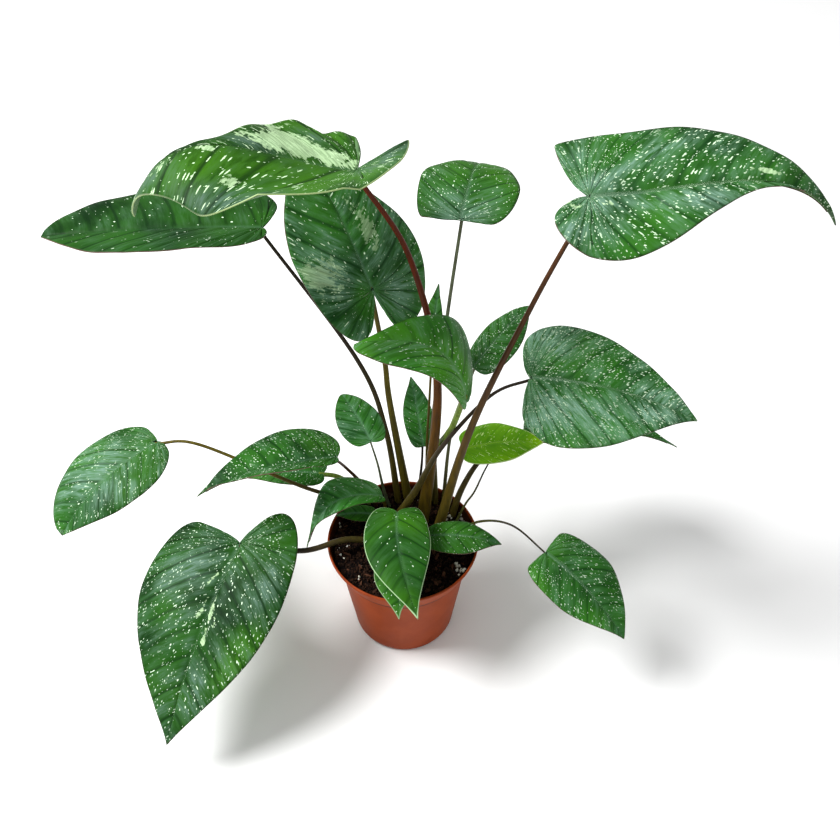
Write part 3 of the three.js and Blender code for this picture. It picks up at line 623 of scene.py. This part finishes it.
def pot():
    """A lathed wall, floor and foot ring. The ring is notched where the angle is near a notch's
    centre, and the floor has drain holes."""
    outer = smooth_profile([(FOOT_OUTER + 0.4, 0.8), (41.6, 4), (43, 15), (47, 45), (51, 76), (52.8, 81),
                            (56.8, 90), (59.2, 96)])
    lip = [(RIM_RADIUS - 0.1, 98.2), (RIM_RADIUS, 99), (RIM_RADIUS - 0.2, 99.7),
           (RIM_RADIUS - 0.6, POT_HEIGHT), (RIM_RADIUS - 1.2, POT_HEIGHT),
           (RIM_RADIUS - 1.6, 99.6), (RIM_RADIUS - 1.7, 98.6)]
    inner = smooth_profile([(58, 96), (55.6, 90), (51.5, 81), (49.7, 76), (45.7, 45), (41.8, 15),
                            (40.2, FLOOR_TOP + 0.8)])
    profile = np.concatenate([
        [(0, 0), (CENTRE_RADIUS, 0), (CENTRE_RADIUS + 1.5, FOOT_HEIGHT), (FOOT_INNER - 0.3, FOOT_HEIGHT),
         (FOOT_INNER, FOOT_HEIGHT - 0.3), (FOOT_INNER, 0.3), (FOOT_INNER + 0.3, 0), (FOOT_OUTER - 1, 0)],
        outer, lip, inner,
        [(FOOT_OUTER - 0.6, FLOOR_TOP), (CENTRE_RADIUS + 1.2, FLOOR_TOP),
         (CENTRE_RADIUS - 0.4, CENTRE_THICKNESS), (0, CENTRE_THICKNESS)]])

    def notched(radius, turn, height):
        """Lifts the ring's foot inside the notches."""
        near = np.zeros_like(radius, bool)
        for centre in FOOT_NOTCH_CENTRES:
            away = (np.degrees(turn) - centre + 180) % 360 - 180
            near |= np.abs(away) < FOOT_NOTCH_DEGREES / 2
        ring = (radius > FOOT_INNER - 0.1) & (height < FOOT_HEIGHT - 0.2)
        return np.where(near & ring, FOOT_HEIGHT - 0.2 + 0.05 * height, height)

    points, faces = lathe(profile, POT_SEGMENTS, notched)
    obj = make_object("pot_look", points, faces, [POT])
    merge_points(obj)
    drill(obj)
    return obj


def drill(floor_and_wall):
    """Cuts the drain holes: upright rods, evenly spaced on a circle, are taken away from the floor."""
    rod, faces = lathe([(0, -2), (DRAIN_RADIUS, -2), (DRAIN_RADIUS, 8), (0, 8)], DRAIN_SEGMENTS)
    turn = 2 * np.pi * np.arange(DRAIN_HOLES) / DRAIN_HOLES
    places = DRAIN_CIRCLE * np.stack([np.cos(turn), np.sin(turn), 0 * turn], axis=-1)
    points = places[:, None] + rod.reshape(1, -1, 3)
    faces = faces + points.shape[1] * np.arange(DRAIN_HOLES)[:, None, None]
    rods = make_object("drain_rods", points, faces.reshape(-1, 4), [])
    merge_points(rods)
    cut = floor_and_wall.modifiers.new("drain holes", "BOOLEAN")
    cut.operation = "DIFFERENCE"
    cut.object = rods
    bored = floor_and_wall.evaluated_get(bpy.context.evaluated_depsgraph_get())
    mesh = bpy.data.meshes.new_from_object(bored)
    floor_and_wall.modifiers.clear()
    floor_and_wall.data = mesh
    bpy.data.objects.remove(rods)
    mesh.set_sharp_from_angle(angle=SHARP_ANGLE)


def soil_height(x, y):
    """The CAD soil's lumps, two crossed waves, with products of finer waves for lumps and grit."""
    lumps = SOIL_LUMP * (np.sin(x / 5.1 + 1.3) * np.cos(y / 4.3) + 0.5 * np.sin((x - 2 * y) / 6.7))
    small = 0.5 * np.sin(x / 1.9 + 0.7 * y) * np.sin(y / 1.5 - 0.4 * x)
    grit = 0.28 * np.sin(2.3 * x + 1.1 * y) * np.sin(2.9 * y - 0.6 * x)
    return SOIL_TOP + lumps + small + grit


def soil():
    """A disc with its height from soil_height, and the pot's inner shape lathed below it."""
    rings = [(r, SOIL_TOP) for r in np.linspace(55.6, 0, SOIL_RINGS)]
    side = [(0, CENTRE_THICKNESS), (CENTRE_RADIUS - 0.8, CENTRE_THICKNESS),
            (CENTRE_RADIUS + 0.8, FLOOR_TOP), (38.8, FLOOR_TOP), (41.4, 15), (49.3, 76),
            (51.1, 81), (55.1, 90), (55.6, 90.6)]

    def lumpy(radius, turn, height):
        """Gives the top its lumps and leaves the side as it is."""
        top = soil_height(radius * np.cos(turn), radius * np.sin(turn))
        return np.where(height >= SOIL_TOP, top, height)

    points, faces = lathe(side + rings, SOIL_SEGMENTS, lumpy)
    obj = make_object("soil_look", points, faces, [SOIL])
    merge_points(obj)
    return obj


def icosahedron():
    """Corners and outward faces of a regular icosahedron with radius 1."""
    g = (1 + 5 ** 0.5) / 2
    corners = np.array([(-1, g, 0), (1, g, 0), (-1, -g, 0), (1, -g, 0), (0, -1, g), (0, 1, g),
                        (0, -1, -g), (0, 1, -g), (g, 0, -1), (g, 0, 1), (-g, 0, -1), (-g, 0, 1)])
    corners = corners / math.hypot(1, g)
    faces = np.array([(0, 11, 5), (0, 5, 1), (0, 1, 7), (0, 7, 10), (0, 10, 11), (1, 5, 9), (5, 11, 4),
                      (11, 10, 2), (10, 7, 6), (7, 1, 8), (3, 9, 4), (3, 4, 2), (3, 2, 6), (3, 6, 8),
                      (3, 8, 9), (4, 9, 5), (2, 4, 11), (6, 2, 10), (8, 6, 7), (9, 8, 1)])
    return corners, faces


def random_turns(rng, count):
    """count rotation matrices from random unit quaternions."""
    w, x, y, z = unit(rng.normal(size=(count, 4))).T
    rows = [1 - 2 * (y * y + z * z), 2 * (x * y - z * w), 2 * (x * z + y * w),
            2 * (x * y + z * w), 1 - 2 * (x * x + z * z), 2 * (y * z - x * w),
            2 * (x * z - y * w), 2 * (y * z + x * w), 1 - 2 * (x * x + y * y)]
    return np.stack(rows, axis=1).reshape(-1, 3, 3)


def grains(name, rng, xy, sizes, stretch, material):
    """Icosahedra with uneven corners, stretched, turned and sunk by SINK of their height in the
    soil at each (x, y)."""
    corners, faces = icosahedron()
    count = len(xy)
    uneven = corners[None] * rng.uniform(0.7, 1.15, size=(count, 12, 1))
    shaped = uneven * (sizes[:, None] * stretch)[:, None, :]
    turned = np.einsum("nij,nkj->nki", random_turns(rng, count), shaped)
    low = -turned[:, :, 2].min(axis=1)
    centre = np.c_[xy, soil_height(xy[:, 0], xy[:, 1]) + low * (1 - 2 * SINK)]
    points = turned + centre[:, None]
    every = faces[None] + 12 * np.arange(count)[:, None, None]
    obj = make_object(name, points, every.reshape(-1, 3), [material])
    add_values(obj, dict(shade=np.repeat(rng.uniform(0, 1, count), 12)))
    return obj


def disc_places(rng, count, radius):
    """count places spread evenly over a disc."""
    r = radius * np.sqrt(rng.uniform(0, 1, count))
    a = rng.uniform(0, 2 * np.pi, count)
    return np.c_[r * np.cos(a), r * np.sin(a)]


def soil_bits():
    """Crumbs, bark and perlite on the soil."""
    rng = np.random.default_rng(SEED)
    crumbs = disc_places(rng, CRUMBS, CRUMB_REACH)
    sizes = rng.uniform(0.35, 1.25, len(crumbs)) ** 1.4
    made = [grains("soil_crumbs", rng, crumbs, sizes, np.array([[1.2, 1.0, 0.8]]), CRUMB)]
    bark = disc_places(rng, BARK_BITS, BIT_REACH)
    sizes = rng.uniform(0.9, 2.0, len(bark))
    made.append(grains("bark", rng, bark, sizes, np.array([[2.0, 0.9, 0.45]]), BARK))
    spots = np.concatenate([rng.normal((x, y), 1.6, size=(n, 2)) for x, y, n in PERLITE_SPOTS])
    spread = disc_places(rng, LOOSE_PERLITE, BIT_REACH)
    places = np.vstack([spots, spread])
    sizes = np.r_[rng.uniform(0.9, 1.9, len(spots)), rng.uniform(0.25, 0.6, len(spread))]
    made.append(grains("perlite", rng, places, sizes, np.array([[1.0, 0.9, 0.8]]), PERLITE))
    return made


# Materials

class Graph:
    """Adds shader nodes to a new material and hands back their outputs."""

    def __init__(self, name):
        self.material = bpy.data.materials.new(name)
        self.material.use_nodes = True
        self.tree = self.material.node_tree
        self.shader = self.tree.nodes["Principled BSDF"]

    def node(self, kind, inputs=None, **settings):
        """A new node of a kind, with its settings and its input sockets."""
        made = self.tree.nodes.new(kind)
        for key, value in settings.items():
            setattr(made, key, value)
        for key, value in (inputs or {}).items():
            self.put(made.inputs[key], value)
        return made

    def put(self, socket, value):
        """Links an output to the socket, or sets a constant on it."""
        if isinstance(value, bpy.types.NodeSocket):
            self.tree.links.new(value, socket)
        elif socket.type == "RGBA":
            socket.default_value = (*value[:3], 1)
        else:
            socket.default_value = value

    def set(self, **inputs):
        """Sets the shader's sockets by their names in small letters."""
        for key, value in inputs.items():
            self.put(self.shader.inputs[key.replace("_", " ").title().replace("Ior", "IOR")], value)

    def value(self, name):
        return self.node("ShaderNodeAttribute", attribute_name=name).outputs["Fac"]

    def colour(self, name):
        return self.node("ShaderNodeAttribute", attribute_name=name).outputs["Color"]

    def math(self, operation, a, b=0.0, clamp=False):
        return self.node("ShaderNodeMath", {0: a, 1: b}, operation=operation, use_clamp=clamp).outputs[0]

    def times(self, a, b):
        return self.math("MULTIPLY", a, b)

    def plus(self, a, b):
        return self.math("ADD", a, b)

    def minus(self, a, b):
        return self.math("SUBTRACT", a, b)

    def larger(self, a, b):
        return self.math("MAXIMUM", a, b)

    def smooth(self, value, low, high, to_low=0.0, to_high=1.0):
        """value taken from low..high to to_low..to_high along a smooth step."""
        inputs = {"Value": value, "From Min": low, "From Max": high, "To Min": to_low, "To Max": to_high}
        return self.node("ShaderNodeMapRange", inputs, interpolation_type="SMOOTHSTEP").outputs["Result"]

    def mix(self, factor, a, b):
        return self.node("ShaderNodeMix", {0: factor, 6: a, 7: b}, data_type="RGBA").outputs[2]

    def vector(self, x, y, z=0.0):
        return self.node("ShaderNodeCombineXYZ", {"X": x, "Y": y, "Z": z}).outputs[0]

    def object_place(self):
        return self.node("ShaderNodeTexCoord").outputs["Object"]

    def noise(self, vector, scale, detail=3.0, roughness=0.55):
        inputs = {"Vector": vector, "Scale": scale, "Detail": detail, "Roughness": roughness}
        return self.node("ShaderNodeTexNoise", inputs).outputs["Fac"]

    def cells(self, vector, scale):
        """Distance to the nearest cell's centre, and that cell's random colour's red and green."""
        inputs = {"Vector": vector, "Scale": scale}
        made = self.node("ShaderNodeTexVoronoi", inputs, voronoi_dimensions="2D")
        parts = self.node("ShaderNodeSeparateColor", {"Color": made.outputs["Color"]})
        return made.outputs["Distance"], parts.outputs["Red"], parts.outputs["Green"]

    def bump(self, height, strength, distance):
        inputs = {"Height": height, "Strength": strength, "Distance": distance}
        made = self.node("ShaderNodeBump", inputs)
        self.tree.links.new(made.outputs["Normal"], self.shader.inputs["Normal"])


def flecks(g, along, across, size, share):
    """Specks in the cells of a stretched grid: a share of the cells holds one, of random size."""
    distance, pick, grow = g.cells(g.vector(along, across), 1.0)
    uneven = g.times(g.minus(g.noise(g.object_place(), 900.0, 2.0), 0.5), 0.30)
    radius = g.times(g.plus(g.times(grow, 0.8), 0.35), size)
    inside = g.smooth(g.minus(g.plus(radius, uneven), distance), 0.0, 0.06)
    return g.times(inside, g.math("LESS_THAN", pick, share))


def leaf_body(g, streaks, hair, deep, mid, bright, painted_sheen):
    """Green with brighter places, some of them painted sunlight, painted grey-blue sheen in streaks
    between veins that are darker partly with painted shade in their furrows, and a pale midrib.
    """
    ridge = g.value("ridge")
    place = g.object_place()
    cloudy = g.plus(g.times(g.noise(place, 26.0, 2.5), 0.7), g.times(streaks, 0.3))
    body = g.mix(g.smooth(cloudy, 0.27, 0.68), deep, mid)
    lively = g.times(g.smooth(g.noise(place, 18.0, 1.5), 0.42, 0.66), g.value("tone"))
    sunlit = g.times(g.value("sunlit"), g.smooth(streaks, 0.30, 0.52))
    body = g.mix(g.larger(lively, sunlit), body, bright)
    # Painted sheen: a grey-blue painted reflection of the sky between the veins; shade is its amount.
    between = g.times(g.smooth(ridge, 0.1, 1.0, 0.3, 1.0), g.smooth(streaks, 0.34, 0.66))
    leaf_place = g.vector(g.value("flat_x"), g.value("flat_y"), g.value("number"))
    patchy = g.smooth(g.noise(leaf_place, 0.045, 1.5), 0.32, 0.62)
    shade = g.times(g.times(between, patchy), g.value("painted_sheen"))
    # Painted gloss: grey-blue highlights painted in the patches listed for the leaf.
    gloss_amount = g.times(g.value("painted_gloss"), g.smooth(streaks, 0.30, 0.58))
    shade = g.math("ADD", shade, gloss_amount, clamp=True)
    shade = g.times(shade, g.plus(g.times(hair, 0.5), 0.5))
    body = g.mix(shade, body, painted_sheen)
    # Darker along the veins: partly their own darker green, partly painted shade in the sunken furrows.
    veins = g.times(g.smooth(ridge, 0.0, 0.36, 0.78, 0.0), g.smooth(g.value("reach"), 0.02, 0.1))
    body = g.mix(veins, body, deep)
    # The pale midrib is the rib's own colour and uses the same grey-blue.
    pale_rib = g.times(g.value("rib"), g.smooth(g.value("flat_x"), 0.0, 70.0, 0.3, 0.05))
    body = g.mix(pale_rib, body, painted_sheen)
    # gain scales the green: partly each leaf's own tone, partly painted light and shade for its
    # lighting.
    inputs = {0: body, "Scale": g.value("gain")}
    return g.node("ShaderNodeVectorMath", inputs, operation="SCALE").outputs[0]


def leaf_flecks(g, run, across, body, fleck, cream):
    """Fleck kinds over the body colour, drawn out along the veins and creamier on streaky leaves."""
    specks = g.value("specks")
    streaky = g.value("streaky")
    covered = 0.0
    for plain_along, streaky_along, spacing, size, plain_share, streaky_share in FLECK_KINDS:
        along = g.times(run, g.smooth(streaky, 0.0, 1.0, plain_along, streaky_along))
        share = g.times(specks, g.smooth(streaky, 0.0, 1.0, plain_share, streaky_share))
        covered = g.larger(covered, flecks(g, along, g.times(across, spacing), size, share))
    dense = g.smooth(g.noise(g.object_place(), 40.0, 1.0), 0.30, 0.55, 0.25, 1.0)
    tinted = g.mix(g.times(streaky, 0.7), fleck, cream)
    return g.mix(g.times(covered, dense), body, tinted)


def leaf_splash(g, run, across, hair, body, cream):
    """Cream places with torn edges, from the cream attribute and two noises."""
    torn = g.noise(g.vector(g.times(run, 0.10), across), 1.0, 5.0, 0.7)
    islands = g.noise(g.object_place(), 130.0, 4.0, 0.65)
    ragged = g.plus(g.value("cream"), g.times(g.minus(torn, 0.5), 1.8))
    ragged = g.plus(ragged, g.times(g.minus(islands, 0.5), 2.4))
    splashed = g.times(g.smooth(ragged, 0.42, 0.58), g.smooth(g.value("cream"), 0.05, 0.22))
    splashed = g.times(splashed, g.value("splash"))
    return g.mix(g.times(splashed, g.plus(g.times(hair, 0.35), 0.55)), body, cream)


def leaf_top(name, deep, mid, bright, painted_sheen, cream, fleck):
    """The upper side: its green, then flecks, cream places and the margin's line."""
    g = Graph(name)
    run = g.value("run")
    across = g.times(g.value("number"), 7.0)
    streaks = g.noise(g.vector(g.times(run, 0.05), g.times(across, 0.55)), 1.0, 4.0, 0.65)
    hairs = g.noise(g.vector(g.times(run, 0.09), g.times(across, 1.7)), 1.0, 3.0, 0.6)
    hair = g.smooth(hairs, 0.42, 0.60)
    body = leaf_body(g, streaks, hair, deep, mid, bright, painted_sheen)
    body = leaf_flecks(g, run, across, body, fleck, cream)
    body = leaf_splash(g, run, across, hair, body, cream)
    edge = g.mix(g.value("pale_edge"), EDGE_BROWN, cream)
    near_edge = g.plus(g.times(g.value("pale_edge"), 0.4), 0.35)
    at_edge = g.smooth(g.value("inset"), 0.30, 0.80, 1.0, 0.0)
    body = g.mix(g.times(at_edge, near_edge), body, edge)
    g.set(base_color=body, roughness=0.45, specular_ior_level=0.04)
    g.bump(streaks, 0.5, 0.0010)
    return g.material


def leaf_under():
    """The paler, duller underside."""
    g = Graph("leaf underside")
    tone = g.smooth(g.noise(g.object_place(), 60.0), 0.3, 0.7)
    g.set(base_color=g.mix(tone, *UNDERSIDE), roughness=0.55)
    return g.material


def plain(name, colour, roughness):
    """One colour all over."""
    g = Graph(name)
    g.set(base_color=colour, roughness=roughness)
    return g.material


def stalk_material():
    """The stalk's own tint with fine lengthwise mottling."""
    g = Graph("stalk")
    inputs = {"Vector": g.object_place(), "Scale": (420, 420, 60)}
    stretched = g.node("ShaderNodeMapping", inputs).outputs[0]
    streak = g.smooth(g.noise(stretched, 1.0, 3.0), 0.35, 0.7)
    darker = g.mix(0.45, g.colour("tint"), STALK_SHADE)
    body = g.mix(streak, darker, g.colour("tint"))
    g.set(base_color=body, roughness=0.42, specular_ior_level=0.1)
    return g.material


def pot_material():
    """Terracotta-coloured plastic with faint blotches, near-black on the inner wall below the rim."""
    g = Graph("terracotta plastic")
    place = g.object_place()
    parts = g.node("ShaderNodeSeparateXYZ", {"Vector": place}).outputs
    level = g.vector(parts["X"], parts["Y"])
    radius = g.node("ShaderNodeVectorMath", {0: level}, operation="LENGTH").outputs["Value"]
    within = g.minus(g.plus(g.times(parts["Z"], WALL_FLARE), WALL_START), radius)
    inner_side = g.smooth(within, -INNER_SIDE_EDGE, INNER_SIDE_EDGE)
    uneven = g.plus(parts["Z"], g.times(g.noise(place, 160.0, 3.0), DARK_WANDER))
    # Near-black on the inner wall, fading out just under the rim's top.
    darkening = g.times(inner_side, g.smooth(uneven, DARK_FULL, DARK_GONE, 0.92, 0.0))
    blotch = g.smooth(g.noise(place, 45.0, 4.0, 0.6), 0.3, 0.72)
    body = g.mix(blotch, *TERRACOTTA)
    spots = g.smooth(g.noise(place, 210.0, 2.0), 0.70, 0.76)
    body = g.mix(g.times(spots, 0.4), body, POT_MARK)
    g.set(base_color=g.mix(darkening, body, INNER_DARK), roughness=0.48, specular_ior_level=0.10)
    g.bump(g.noise(place, 900.0, 2.0), 0.08, 0.0002)
    return g.material


def soil_material():
    """Near-black peat with brown places."""
    g = Graph("soil")
    place = g.object_place()
    brown = g.smooth(g.noise(place, 240.0, 5.0, 0.7), 0.45, 0.72)
    g.set(base_color=g.mix(brown, *PEAT), roughness=0.95, specular_ior_level=0.05)
    g.bump(g.noise(place, 1400.0, 4.0), 0.9, 0.0012)
    return g.material


def shaded(name, dark, light, roughness):
    """A colour between two, chosen for each grain by its shade."""
    g = Graph(name)
    body = g.mix(g.value("shade"), dark, light)
    g.set(base_color=body, roughness=roughness, specular_ior_level=0.05)
    return g.material


LEAF_TOP = leaf_top("speckled leaf", deep=(0.004, 0.030, 0.006), mid=(0.029, 0.146, 0.013),
                    bright=(0.075, 0.290, 0.008), painted_sheen=(0.180, 0.320, 0.235), cream=(0.50, 0.71, 0.40),
                    fleck=(0.66, 0.84, 0.62))
LIME_TOP = leaf_top("lime leaf", deep=(0.030, 0.110, 0.003), mid=(0.080, 0.200, 0.003),
                    bright=(0.125, 0.270, 0.002), painted_sheen=(0.180, 0.340, 0.020), cream=(0.60, 0.75, 0.30),
                    fleck=(0.55, 0.72, 0.25))
LEAF_UNDER = leaf_under()
MARGIN = plain("brown margin", (0.140, 0.070, 0.052), 0.5)
PALE_MARGIN = plain("pale margin", (0.32, 0.44, 0.17), 0.5)
STALK = stalk_material()
POT = pot_material()
SOIL = soil_material()
CRUMB = shaded("crumbs", (0.003, 0.002, 0.002), (0.035, 0.017, 0.010), 0.9)
BARK = shaded("bark", (0.012, 0.006, 0.004), (0.085, 0.036, 0.020), 0.8)
PERLITE = shaded("perlite", (0.50, 0.46, 0.36), (0.85, 0.84, 0.78), 0.8)


# Plant

def settle(obj, node):
    """obj stands for the CAD node and moves with the pot."""
    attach(obj, "root")
    if node:
        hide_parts(node)


for index, entry in enumerate(LEAVES):
    leaf = prepare(entry)
    name = leaf["name"]
    settle(blade(leaf, index), f"{name}_blade")
    settle(stalk(leaf), f"{name}_stalk")
settle(pot(), "pot")
settle(soil(), "soil")
for bits in soil_bits():
    settle(bits, None)


# Floor, light and camera

def studio():
    """A white floor under a pale sky, with one soft light high on the plant's left."""
    bpy.ops.mesh.primitive_plane_add(size=FLOOR_SIZE, location=(0, 0, 0))
    floor = bpy.context.object
    floor.name = "floor"
    floor.data.materials.append(plain("white floor", (0.92, 0.92, 0.92), 0.9))
    world = bpy.data.worlds.new("sky")
    world.use_nodes = True
    sky = world.node_tree.nodes["Background"].inputs
    sky["Color"].default_value = (1.0, 1.0, 1.0, 1)
    sky["Strength"].default_value = WORLD_STRENGTH
    bpy.context.scene.world = world
    lamp = bpy.data.lights.new("key", "AREA")
    lamp.shape = "DISK"
    lamp.size = KEY_SIZE
    lamp.energy = KEY_WATTS
    key = bpy.data.objects.new("key", lamp)
    bpy.context.collection.objects.link(key)
    key.location = KEY_DIRECTION * KEY_DISTANCE + KEY_AIM_HEIGHT * UP
    across = math.atan2(KEY_DIRECTION[1], KEY_DIRECTION[0])
    key.rotation_euler = (0, math.acos(KEY_DIRECTION[2]), across)
    camera = bpy.data.objects.new("camera", bpy.data.cameras.new("camera"))
    bpy.context.collection.objects.link(camera)
    camera.location = CAMERA_PLACE
    camera.rotation_euler = (CAMERA_PITCH, 0, 0)
    camera.data.lens = LENS
    camera.data.sensor_width = SENSOR
    bpy.context.scene.camera = camera
    bpy.context.scene.view_settings.view_transform = "Standard"


studio()
